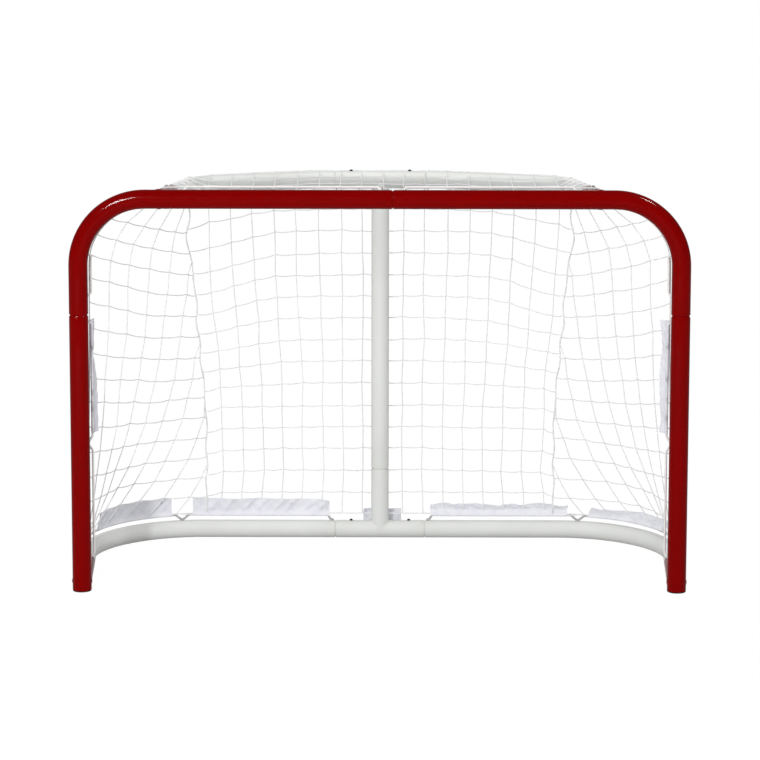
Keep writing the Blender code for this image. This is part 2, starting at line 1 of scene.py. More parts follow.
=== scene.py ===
# %% [markdown]
# # A steel hockey goal with a knotted net
#
# This notebook dresses the solids of a full-size hockey goal: a knock-down frame
# of steel tube, with a red mouth and a white base and top shelf behind it. Each
# tube slides into the next and is held by a screw. Thin rods are welded along
# the tubes, canvas flaps are folded round the rods, and the net hangs from all.
#
# Every piece stands where its solid is, in metres. Only the flaps and the rods'
# middle welds on the base are shifted, by up to 10 mm along their tube. The
# mouth faces -Y, X runs along the crossbar and Z is up.

# %% Tools and the frame
import json
import math

import bmesh
import bpy
from mathutils import Matrix, Vector, noise

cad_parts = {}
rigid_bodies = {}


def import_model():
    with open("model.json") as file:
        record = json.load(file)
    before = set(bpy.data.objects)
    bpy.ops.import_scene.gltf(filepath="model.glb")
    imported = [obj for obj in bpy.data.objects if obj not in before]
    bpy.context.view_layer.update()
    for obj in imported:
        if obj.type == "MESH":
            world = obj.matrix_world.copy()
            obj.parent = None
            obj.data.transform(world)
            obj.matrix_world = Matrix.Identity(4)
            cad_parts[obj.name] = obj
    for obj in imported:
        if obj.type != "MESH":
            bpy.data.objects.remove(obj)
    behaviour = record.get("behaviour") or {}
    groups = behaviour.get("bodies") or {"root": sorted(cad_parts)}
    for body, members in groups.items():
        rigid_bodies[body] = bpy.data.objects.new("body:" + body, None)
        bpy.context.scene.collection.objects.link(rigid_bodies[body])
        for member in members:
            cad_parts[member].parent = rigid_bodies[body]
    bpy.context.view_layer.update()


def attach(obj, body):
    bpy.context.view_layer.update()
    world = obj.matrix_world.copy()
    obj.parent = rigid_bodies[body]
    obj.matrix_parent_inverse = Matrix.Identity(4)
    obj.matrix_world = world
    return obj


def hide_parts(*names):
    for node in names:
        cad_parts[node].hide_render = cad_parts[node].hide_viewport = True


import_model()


def placed(name, data):
    """A new object of the scene."""
    made = bpy.data.objects.new(name, data)
    bpy.context.scene.collection.objects.link(made)
    return made


# %% [markdown]
# ## Where it is seen from
#
# The photograph was taken with a long lens from seven and a half metres, above
# the crossbar. The posts stay parallel in it, which a level camera with a lens
# shift gives. A small shift and a slight tilt come within four pixels of that,
# and keep the goal inside the frame in the other views.

# %% Camera
CAMERA_PLACE = (0.021, -7.911, 1.940)
tilt_down = math.radians(6.816)
turn_left = math.radians(-0.152)
roll = math.radians(0.079)
ahead = Vector((math.sin(turn_left) * math.cos(tilt_down),
                math.cos(turn_left) * math.cos(tilt_down), -math.sin(tilt_down)))
level_right = ahead.cross(Vector((0, 0, 1))).normalized()
level_up = level_right.cross(ahead)
right = level_right * math.cos(roll) + level_up * math.sin(roll)
up = level_up * math.cos(roll) - level_right * math.sin(roll)
camera = placed("camera", bpy.data.cameras.new("camera"))
camera.matrix_world = (Matrix.Translation(CAMERA_PLACE)
                       @ Matrix((right, up, -ahead)).transposed().to_4x4())
camera.data.sensor_width = 36.0
camera.data.lens = 114.73
camera.data.shift_y = -0.15
bpy.context.scene.camera = camera
print("camera", [round(value, 2) for value in camera.location])

# %% [markdown]
# ## Sizes that are shared
#
# The tube is 60.3 mm steel, and the opening is the regulation 72 by 48 inches.
# The bends, the flare of the base and the plan of the shelf are the solids' own.

# %% Sizes
TUBE = 0.0603 / 2
WALL = 0.0021
SLIP = 0.0003
BORE = TUBE - WALL
SPIGOT = BORE * math.cos(math.pi / 20) - SLIP
OPENING_WIDTH = 1.8288
OPENING_HEIGHT = 1.2192
DEPTH = 0.745
FRONT = -0.38550
REAR = FRONT + DEPTH
POST_X = (OPENING_WIDTH + 2 * TUBE) / 2
BASE_Z = TUBE
BAR_Z = OPENING_HEIGHT + TUBE
PLUG_RIM = 0.0032
POST_SEAM = 0.887
BAR_SEAM = 0.038
BASE_STUB = 0.257
SHELF_STUB = 0.170
TEE_ARM = 0.153
RISER = 0.243
FLARE = math.radians(4.5)
MOUTH_BEND = 0.21
BASE_BEND = 0.36
SHELF_BEND = 0.15
SHELF_SLANT = 0.225
SHELF_START_IN = 0.2546
SHELF_CORNER_IN = 0.3176
ROD = 0.0038
ROD_GAP = 0.016
ROD_HEIGHT = TUBE + ROD_GAP + ROD
ROD_SEAT = TUBE + ROD * 0.9
FINE_SEAM = 0.0008
OPEN_SEAM = 0.0026
SHOULDER = 0.006
UP = Vector((0, 0, 1))
BACK = Vector((0, 1, 0))
ALONG = Vector((1, 0, 0))
SIDES = (("left", -1), ("right", 1))
ARC_STEP = math.radians(3)


def rounded(corners, radii):
    """A line through the corners, with an arc of the given radius at each inner one."""
    line = [corners[0]]
    for before, corner, after, radius in zip(corners, corners[1:], corners[2:], radii):
        back = (before - corner).normalized()
        forth = (after - corner).normalized()
        turn = math.pi - back.angle(forth)
        start = corner + back * radius * math.tan(turn / 2)
        centre = corner + (back + forth).normalized() * radius / math.cos(turn / 2)
        spoke = start - centre
        axis = spoke.cross(-back)
        count = math.ceil(turn / ARC_STEP)
        for index in range(count + 1):
            line.append(centre + Matrix.Rotation(turn * index / count, 3, axis) @ spoke)
    line.append(corners[-1])
    return line


def length_of(line):
    return sum((b - a).length for a, b in zip(line, line[1:]))


def walk(line, distance):
    """The point and the heading at a distance along a line."""
    for a, b in zip(line, line[1:]):
        span = (b - a).length
        if distance <= span or b is line[-1]:
            heading = (b - a).normalized()
            return a + heading * distance, heading
        distance -= span


def sided(points, side):
    """Right-hand points, moved to the side asked for."""
    return [Vector((side * p.x, p.y, p.z)) for p in points]


def ease(value, low, high):
    """0 below low and 1 above high, with a smooth way between them."""
    share = min(1.0, max(0.0, (value - low) / (high - low)))
    return share * share * (3 - 2 * share)


# %% The lines that the tubes follow
post_foot = Vector((POST_X, FRONT, 0))
post_seam = Vector((POST_X, FRONT, POST_SEAM))
mouth_corner = Vector((POST_X, FRONT, BAR_Z))
bar_middle = Vector((0, FRONT, BAR_Z))
base_start = Vector((POST_X, FRONT, BASE_Z))
base_corner = Vector((POST_X + DEPTH * math.tan(FLARE), REAR, BASE_Z))
base_middle = Vector((0, REAR, BASE_Z))
base_heading = (base_corner - base_start).normalized()
base_seam = base_start + base_heading * BASE_STUB
shelf_start = Vector((POST_X - SHELF_START_IN, FRONT, BAR_Z))
shelf_corner = Vector((POST_X - SHELF_CORNER_IN, REAR - SHELF_SLANT, BAR_Z))
shelf_heading = (shelf_corner - shelf_start).normalized()
shelf_seam = shelf_start + shelf_heading * SHELF_STUB / shelf_heading.y
bend_start = TEE_ARM + 0.020
bend_span = shelf_corner.x - bend_start
bend_reach = SHELF_SLANT * (SHELF_SLANT - 2 * SHELF_BEND)
bend_slope = SHELF_SLANT / (bend_span + math.sqrt(bend_span ** 2 + bend_reach))
shelf_bend = Vector((bend_start + SHELF_BEND * bend_slope, REAR, BAR_Z))
shelf_middle = Vector((0, REAR, BAR_Z))
tee_low = Vector((TEE_ARM, REAR, BASE_Z))
tee_high = Vector((TEE_ARM, REAR, BAR_Z))
low_tee_line = [Vector((-TEE_ARM, REAR, BASE_Z)), tee_low]
high_tee_line = [Vector((-TEE_ARM, REAR, BAR_Z)), tee_high]
riser_top = Vector((0, REAR, RISER))
mouth_line = rounded([post_foot, mouth_corner, bar_middle], (MOUTH_BEND,))
base_line = rounded([base_start, base_corner, base_middle], (BASE_BEND,))
shelf_line = rounded([shelf_start, shelf_corner, shelf_bend, shelf_middle], (SHELF_BEND,) * 2)
base_length = length_of(base_line)
print("half of the mouth", round(length_of(mouth_line), 3), "base", round(base_length, 3),
      "shelf", round(length_of(shelf_line), 3))

# %% [markdown]
# ## Writing materials as sums
#
# A finish is easier to read as a sum than as a drawing of nodes. One small
# class wraps a socket, so that adding two of them adds the Math node, and one
# method makes any other node from its settings and its sockets.

# %% A socket that can be added and multiplied
class Signal:
    """The output of a node, with the arithmetic of Math nodes."""

    def __init__(self, finish, socket):
        self.finish = finish
        self.socket = socket

    def math(self, operation, first, second):
        return self.finish.node("Math", {"operation": operation}, {0: first, 1: second})

    def __add__(self, other):
        return self.math("ADD", self, other)

    def __radd__(self, other):
        return self.math("ADD", other, self)

    def __sub__(self, other):
        return self.math("SUBTRACT", self, other)

    def __rsub__(self, other):
        return self.math("SUBTRACT", other, self)

    def __mul__(self, other):
        return self.math("MULTIPLY", self, other)

    def __rmul__(self, other):
        return self.math("MULTIPLY", other, self)


class Recipe:
    """A tree of shader nodes that is written as signals."""

    def __init__(self, tree):
        self.tree = tree

    def node(self, kind, settings=None, sockets=None, output=0):
        """Adds a node: its settings first, then the values or links of its sockets."""
        made = self.tree.nodes.new("ShaderNode" + kind)
        for key, value in (settings or {}).items():
            setattr(made, key, value)
        for key, value in (sockets or {}).items():
            self.plug(made.inputs[key], value)
        return Signal(self, made.outputs[output])

    def plug(self, socket, value):
        if isinstance(value, Signal):
            self.tree.links.new(value.socket, socket)
        else:
            socket.default_value = value

    def ray(self, kind):
        """1 where a ray of the given kind looks, else 0."""
        return self.node("LightPath", output=f"Is {kind} Ray")

    def between(self, signal, low, high):
        """Turns the part of a signal from low to high into 0 to 1."""
        return self.node("MapRange", {"clamp": True},
                         {"Value": signal, "From Min": low, "From Max": high})

    def blend(self, amount, first, second):
        """A colour between two others."""
        return self.node("Mix", {"data_type": "RGBA"}, {0: amount, 6: first, 7: second},
                         output=2)


class Finish(Recipe):
    """A material whose Principled shader is fed by signals."""

    def __init__(self, name, roughness, metallic=0.0, specular=0.5):
        self.material = bpy.data.materials.new(name)
        self.material.use_nodes = True
        super().__init__(self.material.node_tree)
        self.shader = self.tree.nodes["Principled BSDF"]
        self.feed(Roughness=roughness, Metallic=metallic, Specular_IOR_Level=specular)
        self.place = self.node("TexCoord", output="Object")

    def feed(self, **sockets):
        """Links or sets sockets of the shader, such as Base_Color."""
        for key, value in sockets.items():
            self.plug(self.shader.inputs[key.replace("_", " ")], value)

    def grain(self, scale, detail=2.0):
        """Noise from 0 to 1; scale is in cells per metre."""
        return self.node("TexNoise", None, {"Vector": self.place, "Scale": scale,
                                            "Detail": detail, "Roughness": 0.5})

    def relief(self, height, depth, strength):
        """Raises the surface where a signal is high, by a depth in metres."""
        self.feed(Normal=self.node("Bump", None, {"Height": height, "Distance": depth,
                                                  "Strength": strength}))


# %% [markdown]
# ## Powder coat, zinc and plastic
#
# Powder melts into a skin that is never quite flat: makers call it orange peel,
# waves of about two millimetres. Here they are very shallow, because deeper
# ones would smear the streaks on the bends. Both coats are glossy. The red
# mirrors little but the lamps, so it gets a low specular level, and the white
# has a hint of green. Faint clouds of dust keep them from looking like plastic.
# The rods on the red tubes are paler than the zinc ones on the base; part of that is painted
# light, raised to make up for the shade of the red tubes beside them.

# %% Powder coats
def powder_coat(name, colour, dusty, rub, roughness, specular):
    finish = Finish(name, roughness, specular=specular)
    clouds = finish.grain(7.0, 4.0)
    specks = finish.between(finish.grain(420.0, 2.0), 0.70, 0.76)
    shade = finish.blend(finish.between(clouds, 0.35, 0.75), colour, dusty)
    finish.feed(Base_Color=finish.blend(specks * 0.35, shade, rub))
    finish.feed(Roughness=roughness + finish.grain(45.0, 3.0) * 0.06)
    peel = finish.grain(480.0, 1.0) + finish.grain(160.0, 1.0) * 0.6
    finish.relief(peel, 0.00002, 0.4)
    return finish.material


red_coat = powder_coat("red powder coat", (0.208, 0.0002, 0.0002, 1),
                       (0.193, 0.0004, 0.0004, 1), (0.15, 0.001, 0.001, 1), 0.07, 0.05)
white_coat = powder_coat("white powder coat", (0.755, 0.767, 0.745, 1),
                         (0.715, 0.725, 0.70, 1), (0.62, 0.63, 0.60, 1), 0.12, 0.45)

# %% Zinc, dark screws and plastic
def metal(name, light, dark, roughness, metallic):
    finish = Finish(name, roughness, metallic)
    spangle = finish.node("TexVoronoi", {"feature": "F1"},
                          {"Vector": finish.place, "Scale": 260.0}, output="Color")
    patches = finish.node("SeparateColor", None, {0: spangle})
    tone = finish.between(patches * 0.35 + finish.grain(60.0, 4.0), 0.35, 0.95)
    finish.feed(Base_Color=finish.blend(tone, light, dark))
    finish.feed(Roughness=roughness + tone * 0.15)
    finish.relief(finish.grain(900.0, 2.0), 0.00005, 0.4)
    return finish.material


zinc_plate = metal("zinc plate", (0.66, 0.665, 0.66, 1), (0.50, 0.51, 0.505, 1), 0.38, 0.40)
# Paler zinc for the rods on the red tubes: partly painted light, lightened against the shade
# that falls beside the red tubes.
zinc_lightened_against_shade = metal("pale zinc", (0.92, 0.91, 0.905, 1), (0.84, 0.83, 0.825, 1), 0.38, 0.06)
dark_screw = metal("dark screw", (0.10, 0.095, 0.09, 1), (0.05, 0.045, 0.04, 1), 0.38, 0.8)

plug_finish = Finish("black plastic", 0.55)
scuffs = plug_finish.between(plug_finish.grain(90.0, 5.0), 0.52, 0.72)
plug_finish.feed(Base_Color=plug_finish.blend(scuffs, (0.012, 0.012, 0.012, 1),
                                              (0.06, 0.058, 0.055, 1)))
plug_finish.relief(plug_finish.grain(700.0, 2.0), 0.0001, 0.5)
black_plastic = plug_finish.material
print("hard finishes:", red_coat.name, white_coat.name, zinc_plate.name, zinc_lightened_against_shade.name,
      dark_screw.name, black_plastic.name)

# %% [markdown]
# ## Canvas and cord
#
# The flaps are bluish white canvas. A weave has threads that pass over and
# under each other, which two sets of waves at right angles give when each
# shows where the other dips. The waves follow the flap's own UV map, in
# millimetres of cloth, so they run round its fold. The net is braided white
# cord, a little soft and dusty.

# %% Canvas and cord finishes
canvas = Finish("canvas", 0.9, specular=0.2)
cloth_place = canvas.node("TexCoord", output="UV")
warp, weft = (canvas.node("TexWave", {"wave_type": "BANDS", "bands_direction": direction},
                          {"Vector": cloth_place, "Scale": 160.0, "Distortion": 0.6})
              for direction in "XY")
weave = warp * (1 - weft) + weft * (1 - warp)
# Darker patches of cloth at random: partly slubs in the yarn, and partly painted shade that
# stands in for the light and dark facets of the creases. The same noise also roughens the bump.
crease_shade_and_slubs = canvas.grain(35.0, 5.0)
plain_cloth = canvas.blend(weave, (0.78, 0.785, 0.845, 1), (0.87, 0.875, 0.915, 1))
canvas.feed(Base_Color=canvas.blend(canvas.between(crease_shade_and_slubs, 0.45, 0.8), plain_cloth,
                                    (0.74, 0.745, 0.81, 1)))
canvas.relief(weave + crease_shade_and_slubs * 0.8, 0.0004, 0.5)
canvas_cloth = canvas.material

cord = Finish("net cord", 0.85, specular=0.2)
strands = cord.grain(900.0, 2.0)
grime = cord.between(cord.grain(9.0, 4.0), 0.45, 0.8)
cord_shade = cord.blend(strands, (0.80, 0.81, 0.81, 1), (0.92, 0.925, 0.92, 1))
cord.feed(Base_Color=cord.blend(grime * 0.4, cord_shade, (0.68, 0.685, 0.67, 1)))
cord.relief(strands, 0.0004, 0.6)
net_cord = cord.material
print("soft finishes:", canvas_cloth.name, net_cord.name)

# %% [markdown]
# ## A bar swept along a line
#
# Tubes, rods and beads of weld are all a circle carried along a line. It is
# extruded ring by ring, and each ring is turned to face along the line and
# scaled to its radius. The rings may step inwards and run back, which makes the
# rim and the bore of an open tube.

# %% Sweeping
def frames_along(points, closed=False):
    """A matrix at each point, with Z along the line and no needless twist."""
    headings = []
    for index, point in enumerate(points):
        before = points[index - 1] if index or closed else point
        after = points[(index + 1) % len(points)] if closed or index + 1 < len(points) else point
        headings.append((after - before).normalized())
    turn = headings[0].to_track_quat("Z", "Y")
    frames = []
    for point, heading in zip(points, headings):
        turn = (turn @ UP).rotation_difference(heading) @ turn
        frames.append(Matrix.Translation(point) @ turn.to_matrix().to_4x4())
    return frames


def sweep(shape, rings, sides, closed=False):
    """Extrudes a circle through rings of (matrix, radius), and closes its ends."""
    def place(ring):
        return ring[0] @ Matrix.Diagonal((ring[1], ring[1], 1, 1))

    verts = bmesh.ops.create_circle(shape, segments=sides, radius=1,
                                    matrix=place(rings[0]))["verts"]
    edges = list({edge for vert in verts for edge in vert.link_edges})
    first = edges
    for old, new in zip(rings, rings[1:]):
        made = bmesh.ops.extrude_edge_only(shape, edges=edges)["geom"]
        verts = {item for item in made if isinstance(item, bmesh.types.BMVert)}
        edges = [item for item in made if isinstance(item, bmesh.types.BMEdge)
                 and item.verts[0] in verts and item.verts[1] in verts]
        bmesh.ops.transform(shape, matrix=place(new) @ place(old).inverted(), verts=list(verts))
    if closed:
        bmesh.ops.bridge_loops(shape, edges=first + edges)
    else:
        bmesh.ops.contextual_create(shape, geom=first)
        bmesh.ops.contextual_create(shape, geom=edges)


def add_piece(name, shape, finish, nodes, sharp=35):
    """Makes an object of a shape, which rides on the goal and stands for its nodes."""
    bmesh.ops.recalc_face_normals(shape, faces=shape.faces)
    mesh = bpy.data.meshes.new(name)
    shape.to_mesh(mesh)
    shape.free()
    mesh.shade_smooth()
    mesh.set_sharp_from_angle(angle=math.radians(sharp))
    mesh.materials.append(finish)
    piece = placed(name, mesh)
    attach(piece, "root")
    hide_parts(*nodes)
    return piece


# %% [markdown]
# ## Tubes and how they join
#
# A tube ends in one of two ways. A socket end is cut square, with its edge
# rounded by the saw's deburring and the coat, and its bore open. A swaged end
# narrows over a few millimetres to a spigot that slides into the next bore.
# From outside, the joint shows as a fine ring with a shadow in it.

# %% Tube ends
SIDES_ROUND = 64
OPEN_RIM = 0.0017
FINE_RIM = 0.0009
BORE_SHOWN = 0.040
SPIGOT_SHOWN = 0.035
BEAD = 0.0019


def slid(place, distance):
    return place @ Matrix.Translation((0, 0, distance))


def socket_end(last, outwards, seam):
    """Rings over the rounded rim of a cut end and back into its bore."""
    rim = OPEN_RIM if seam == OPEN_SEAM else FINE_RIM
    rings = [(slid(last, -outwards * rim), TUBE)]
    for index in range(1, 6):
        angle = math.pi / 2 * index / 5
        rings.append((slid(last, -outwards * rim * (1 - math.sin(angle))),
                      TUBE - rim * (1 - math.cos(angle))))
    rings += [(last, BORE + 0.0002), (slid(last, -outwards * 0.0004), BORE),
              (slid(last, -outwards * BORE_SHOWN), BORE)]
    return rings


def spigot_end(last, outwards, seam):
    """Rings down the shoulder of a swaged end and on along its spigot."""
    rings = []
    for index in range(9):
        share = index / 8
        radius = SPIGOT + (TUBE - SPIGOT) * (0.5 + 0.5 * math.cos(math.pi * share))
        rings.append((slid(last, -outwards * (seam + SHOULDER * (1 - share))), radius))
    rings.append((slid(last, outwards * SPIGOT_SHOWN), SPIGOT))
    return rings


def tube_rings(line, start, end, seam):
    """The rings of a tube; start and end are socket_end or spigot_end."""
    frames = frames_along(line)
    first = start(frames[0], -1, seam)[::-1]
    return first + [(matrix, TUBE) for matrix in frames[1:-1]] + end(frames[-1], 1, seam)


def even(line):
    """The line with extra points on its long straights, so that no face is a long sliver."""
    points = [line[0]]
    for a, b in zip(line, line[1:]):
        count = max(1, round((b - a).length / 0.12))
        points += [a.lerp(b, index / count) for index in range(1, count + 1)]
    return points


# %% [markdown]
# ## Welded branches
#
# Where one tube is welded into the side of another, the branch is coped to fit,
# and a bead of weld follows the line where the two cylinders meet. Its radius
# swells and shrinks a little, as the welder's dabs do.

# %% Branches and beads
def saddle(start, heading, axis, count=144):
    """The closed line where a branch's surface meets a tube of the same radius."""
    across = heading.cross(axis).normalized()
    over = across.cross(heading)
    flat = heading - axis * heading.dot(axis)
    line = []
    for index in range(count):
        angle = math.tau * (index + 0.5) / count
        spoke = (across * math.cos(angle) + over * math.sin(angle)) * TUBE
        level = spoke - axis * spoke.dot(axis)
        mixed = level.dot(flat)
        spare = max(0.0, mixed ** 2 - flat.length_squared * (level.length_squared - TUBE ** 2))
        line.append(start + spoke + heading * (math.sqrt(spare) - mixed) / flat.length_squared)
    return line


def add_branch(shape, line, axis, end):
    """A branch tube from the axis of its main tube, and its bead of weld."""
    frames = frames_along(line)
    heading = (line[1] - line[0]).normalized()
    sweep(shape, [(slid(frames[0], 0.004), TUBE)] + [(matrix, TUBE) for matrix in frames[1:-1]]
          + end(frames[-1], 1, FINE_SEAM), SIDES_ROUND)
    bead = frames_along(saddle(line[0], heading, axis), closed=True)
    dabs = [BEAD + 0.0004 * math.sin(index * math.tau / 6) for index in range(len(bead))]
    sweep(shape, list(zip(bead, dabs)), 8, closed=True)


# %% [markdown]
# ## The red mouth
#
# Two corner tubes and two posts. The left corner is the socket of the joint in
# the crossbar, and each post slides up into its corner. Short red stubs for
# the base and for the shelf are welded to their backs.

# %% Red tubes
COATS = {"red_paint": (red_coat, OPEN_SEAM), "white_paint": (white_coat, FINE_SEAM)}


def add_tube(name, node, slot, line, start, end, *branches):
    """A tube; a branch is its line, the direction of this tube and its own end."""
    shape = bmesh.new()
    finish, seam = COATS[slot]
    sweep(shape, tube_rings(even(line), start, end, seam), SIDES_ROUND)
    for branch, axis, branch_end in branches:
        add_branch(shape, even(branch), axis, branch_end)
    add_piece(name, shape, finish, [node])


for hand, side in SIDES:
    seam = Vector((side * BAR_SEAM, FRONT, BAR_Z))
    corner_line = sided(rounded([post_seam, mouth_corner, seam], (MOUTH_BEND,)), side)
    add_tube(f"{hand}_red_corner", f"{hand}_crossbar_corner", "red_paint", corner_line,
             socket_end, spigot_end if side > 0 else socket_end,
             (sided([shelf_start, shelf_seam], side), ALONG, socket_end))
    post_line = sided([post_foot + UP * PLUG_RIM, post_seam], side)
    add_tube(f"{hand}_red_post", f"{hand}_post", "red_paint", post_line, socket_end,
             spigot_end, (sided([base_start, base_seam], side), UP, socket_end))
print("red tubes made")

# %% [markdown]
# ## The white base and shelf
#
# The white tubes are narrowed at both ends and slide into the red stubs and
# into the tees at the back. The centre post carries the tee of the shelf, and
# its lower end slides into the riser of the base tee.

# %% White tubes
for hand, side in SIDES:
    base = rounded([base_seam, base_corner, tee_low], (BASE_BEND,))
    add_tube(f"{hand}_white_base", f"{hand}_base_tube", "white_paint",
             sided(base, side), spigot_end, spigot_end)
    shelf = rounded([shelf_seam, shelf_corner, shelf_bend, tee_high], (SHELF_BEND,) * 2)
    add_tube(f"{hand}_white_shelf", f"{hand}_shelf_tube", "white_paint",
             sided(shelf, side), spigot_end, spigot_end)
add_tube("white_base_tee", "base_tee", "white_paint", low_tee_line, socket_end, socket_end,
         ([base_middle, riser_top], ALONG, socket_end))
add_tube("white_centre_post", "centre_post", "white_paint", high_tee_line, socket_end,
         socket_end, ([shelf_middle, riser_top], ALONG, spigot_end))
print("white tubes made")

# %% [markdown]
# ## Foot plugs
#
# A black plastic plug closes each post. Only its rim shows, as a dark line under
# the red. Its profile is spun about the post's axis.

# %% Plugs
for hand, side in SIDES:
    shape = bmesh.new()
    outline = [(0.0, 0.0006), (0.012, 0.0006), (0.014, 0.0), (TUBE - 0.0016, 0.0),
               (TUBE - 0.0006, 0.0008), (TUBE - 0.0004, 0.0022), (TUBE - 0.0008, 0.0030),
               (BORE - 0.0006, 0.0030), (BORE - 0.0006, 0.024), (BORE - 0.0030, 0.024),
               (BORE - 0.0030, 0.0026), (0.0, 0.0026)]
    knots = [shape.verts.new((radius, 0, height)) for radius, height in outline]
    chain = [shape.edges.new(pair) for pair in zip(knots, knots[1:])]
    bmesh.ops.spin(shape, geom=knots + chain, cent=(0, 0, 0), axis=(0, 0, 1),
                   angle=math.tau, steps=48, use_merge=True)
    bmesh.ops.remove_doubles(shape, verts=shape.verts, dist=1e-6)
    bmesh.ops.translate(shape, verts=shape.verts, vec=(side * POST_X, FRONT, 0))
    add_piece(f"{hand}_plastic_plug", shape, black_plastic,
              [f"{hand}_foot_plug"])

# %% [markdown]
# ## Screws
#
# One screw with a hexagon head and a washer face holds each slip joint. The
# head is a short prism with bevelled edges, on a thin disc.

# %% Screws
SCREW_FROM_SEAM = 0.053
WASHER = 0.0062
HEAD = 0.0050


def add_screw(joint, seam, into, outward):
    shape = bmesh.new()
    place = (Matrix.Translation(seam + into * SCREW_FROM_SEAM + outward * TUBE)
             @ outward.to_track_quat("Z", "Y").to_matrix().to_4x4())
    bmesh.ops.create_cone(shape, cap_ends=True, segments=32, radius1=WASHER,
                          radius2=WASHER - 0.0004, depth=0.0016,
                          matrix=place @ Matrix.Translation((0, 0, 0.0004)))
    head = bmesh.ops.create_cone(shape, cap_ends=True, segments=6, radius1=HEAD, radius2=HEAD,
                                 depth=0.0034, matrix=place @ Matrix.Translation((0, 0, 0.0027)))
    edges = list({edge for vert in head["verts"] for edge in vert.link_edges})
    bmesh.ops.bevel(shape, geom=edges, offset=0.0005, segments=2, affect="EDGES",
                    profile=0.5, material=-1)
    add_piece(f"hex_{joint}", shape, dark_screw, [f"{joint}_screw"], sharp=50)


for hand, side in SIDES:
    sideways = Vector((-side, 0, 0))
    low, high, red_base, red_shelf, red_post = sided(
        [tee_low, tee_high, base_seam, shelf_seam, post_seam], side)
    into_base, into_shelf = sided([-base_heading, -shelf_heading], side)
    add_screw(f"base_tee_{hand}", low, sideways, UP)
    add_screw(f"shelf_tee_{hand}", high, sideways, UP)
    add_screw(f"{hand}_base", red_base, into_base, UP)
    add_screw(f"{hand}_shelf", red_shelf, into_shelf, UP)
    add_screw(f"{hand}_post", red_post, UP, BACK)
add_screw("crossbar", Vector((BAR_SEAM, FRONT, BAR_Z)), -ALONG, BACK)
add_screw("centre_post", riser_top, -UP, BACK)
print("screws made")

# %% [markdown]
# ## Lacing rods
#
# Zinc-plated rods run beside the tubes. A rod comes down to its tube at both
# ends, and in a V where it is welded between, so that cords and canvas can pass
# behind it. Each touch has a small dab of weld.

# %% Lacing rods
FOOT = 0.007
RAMP = 0.014
SPREAD = 0.028
BASE_ROD_START = 0.273
POST_ROD = (0.095, 0.871)
POST_WELD = 0.470
CORNER_ROD = (0.932, 1.090)
BAR_ROD_START = 0.026
BAR_ROD_END = 0.62395
TEE_ROD = 0.112
REAR_FLAP = 0.475
CURVE_FLAP = 0.334
FLAP_GAP = 0.074


def rod_height(mark, start, end, welds):
    """How far the rod's axis stands from the tube's, at a distance along the tube."""
    from_end = min(mark - start, end - mark) - FOOT
    share = min(1.0, max(0.0, from_end / RAMP))
    for weld in welds:
        share = min(share, abs(mark - weld) / SPREAD)
    return ROD_SEAT + (ROD_HEIGHT - ROD_SEAT) * (3 - 2 * share) * share ** 2


def add_rod(place, line, start, end, welds, outward, finish):
    shape = bmesh.new()
    marks = [start + (end - start) * index / 160 for index in range(161)]
    marks += [weld + SPREAD * step / 8 for weld in welds for step in range(-8, 9)]
    for step in range(7):
        marks += [start + FOOT + RAMP * step / 6, end - FOOT - RAMP * step / 6]
    points = []
    for mark in sorted(marks):
        point, heading = walk(line, mark)
        point = point + outward(heading) * rod_height(mark, start, end, welds)
        if not points or (point - points[-1]).length > 0.0012:
            points.append(point)
    sweep(shape, [(matrix, ROD) for matrix in frames_along(points)], 12)
    for mark in (start + 0.003, end - 0.003, *welds):
        point, heading = walk(line, mark)
        side = heading.cross(outward(heading)).normalized()
        turn = Matrix((side, heading, outward(heading))).transposed().to_4x4()
        dab = Matrix.Translation(point + outward(heading) * (TUBE + 0.0008)) @ turn
        bmesh.ops.create_uvsphere(shape, u_segments=16, v_segments=10, radius=1,
                                  matrix=dab @ Matrix.Diagonal((0.0068, 0.0075, 0.0030, 1)))
    add_piece(f"{place}_lacing", shape, finish, [f"{place}_rod"])


rod_end = base_length - TEE_ARM - 0.010
rear_end = rod_end - 0.013
rear_start = rear_end - REAR_FLAP
curve_end = rear_start - FLAP_GAP
curve_start = curve_end - CURVE_FLAP
base_weld = rear_start - FLAP_GAP / 2


def inward(side):
    """The way from a post to the inside of the goal, halfway to the back."""
    return (Vector((-side, 0, 0)) + BACK).normalized()


for hand, side in SIDES:
    def from_bend(heading, side=side):
        return (heading.cross(BACK) * side + BACK).normalized()

    mouth_side = sided(mouth_line, side)
    add_rod(f"{hand}_base", sided(base_line, side), BASE_ROD_START, rod_end, (base_weld,),
            lambda heading: UP, zinc_plate)
    add_rod(f"{hand}_post", mouth_side, *POST_ROD, (POST_WELD,),
            lambda heading, side=side: inward(side), zinc_lightened_against_shade)
    add_rod(f"{hand}_corner", mouth_side, *CORNER_ROD, (), from_bend, zinc_lightened_against_shade)
    add_rod(f"{hand}_crossbar", sided([bar_middle, mouth_corner], side),
            side * BAR_SEAM + BAR_ROD_START, BAR_ROD_END, (),
            lambda heading: (UP + BACK).normalized(), zinc_lightened_against_shade)
add_rod("tee", low_tee_line, TEE_ARM - TEE_ROD, TEE_ARM + TEE_ROD, (), lambda heading: BACK,
        zinc_plate)
print("lacing rods made")

# %% [markdown]
# ## Canvas flaps
#
# A flap is a strip of canvas folded in half round a rod, with both leaves
# standing up together and stitched. Standing canvas is never flat: it leans,
# waves along its free edge and creases near the rod. The two flaps at the right
# of the base have tipped over backwards and lie almost level. A grid is bent
# into the fold, tipped between 9 and 25 mm from the rod, shifted by slow noise
# that grows away from it, and given the cloth's thickness.

